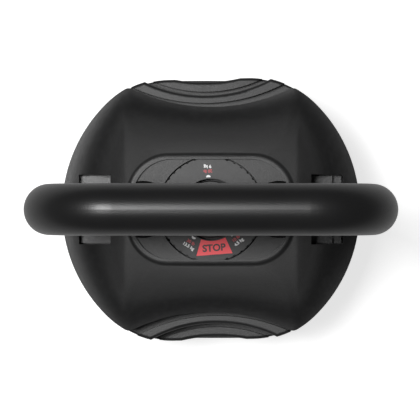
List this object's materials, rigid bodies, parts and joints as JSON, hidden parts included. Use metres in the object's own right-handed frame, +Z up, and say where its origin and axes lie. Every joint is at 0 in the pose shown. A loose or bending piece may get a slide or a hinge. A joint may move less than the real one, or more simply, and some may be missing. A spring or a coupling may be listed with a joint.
{
  "type": "adjustable kettlebell",
  "caption": "Adjustable kettlebell with a round-bar handle over a scooped bell, a selector dial in its top, stacked weight plates and a storage tray.",
  "frame": {"origin": "centre of the footprint, on the surface that the tray's feet stand on", "axes": "+Z up, +X along the handle, +Y towards the back"},
  "size_m": [0.2558, 0.199, 0.2995],
  "materials": {
    "casing_plastic": "fine matte texture",
    "liner_plastic": "satin",
    "dial_plastic": "smooth satin",
    "grip_rubber": "pebbled",
    "rubber": "matte",
    "painted_steel": "black powder coat",
    "cast_iron": "as cast",
    "steel": "machined",
    "zinc": "zinc plated",
    "brass": "sintered bronze"
  },
  "bodies": {
    "tray": {"storage_tray": "casing_plastic", "tray_feet": "rubber"},
    "plate_4": {"plate_cover_4": "casing_plastic", "plate_core_4": "cast_iron", "plate_ring_4": "steel", "plate_screws_4": "zinc"},
    "plate_3": {"plate_cover_3": "casing_plastic", "plate_core_3": "cast_iron", "plate_ring_3": "steel", "plate_screws_3": "zinc"},
    "bell": {"plate_cover_1": "casing_plastic", "plate_core_1": "cast_iron", "plate_ring_1": "steel", "plate_screws_1": "zinc", "plate_cover_2": "casing_plastic", "plate_core_2": "cast_iron", "plate_ring_2": "steel", "plate_screws_2": "zinc", "lower_bush": "brass", "upper_bush": "brass", "carrier_plate": "painted_steel", "core_column": "cast_iron", "top_shell": "casing_plastic", "shell_screws": "zinc", "recess_liner": "liner_plastic", "detent_balls": "steel", "detent_springs": "steel", "stop_pin": "steel", "handle_tube": "painted_steel", "handle_grip": "grip_rubber", "cross_pins": "zinc", "handle_feet": "painted_steel", "foot_bolts": "zinc"},
    "selector": {"dial": "dial_plastic", "dial_face": "dial_plastic", "selector_shaft": "steel", "disc_spacers": "liner_plastic", "end_washer": "zinc", "end_screw": "zinc", "button_spring": "steel", "selector_disc_1": "steel", "selector_disc_2": "steel", "selector_disc_3": "steel", "selector_disc_4": "steel"},
    "button": {"hub_button": "dial_plastic"}
  },
  "joints": [
    {"name": "plate_4_lift", "type": "slide", "parent": "tray", "child": "plate_4", "axis": [0, 0, 1], "range_m": [0, 0.1]},
    {"name": "plate_3_lift", "type": "slide", "parent": "plate_4", "child": "plate_3", "axis": [0, 0, 1], "range_m": [0, 0.1]},
    {"name": "bell_lift", "type": "slide", "parent": "plate_3", "child": "bell", "axis": [0, 0, 1], "range_m": [0, 0.15]},
    {"name": "dial_turn", "type": "hinge", "parent": "bell", "child": "selector", "pos_m": [0, 0, 0.18], "axis": [0, 0, 1], "range_deg": [-144, 144]},
    {"name": "button_press", "type": "slide", "parent": "selector", "child": "button", "axis": [0, 0, -1], "range_m": [0, 0.003], "stiffness_N_per_m": 300, "springref_m": -0.004, "deforming": ["button_spring"]}
  ]
}
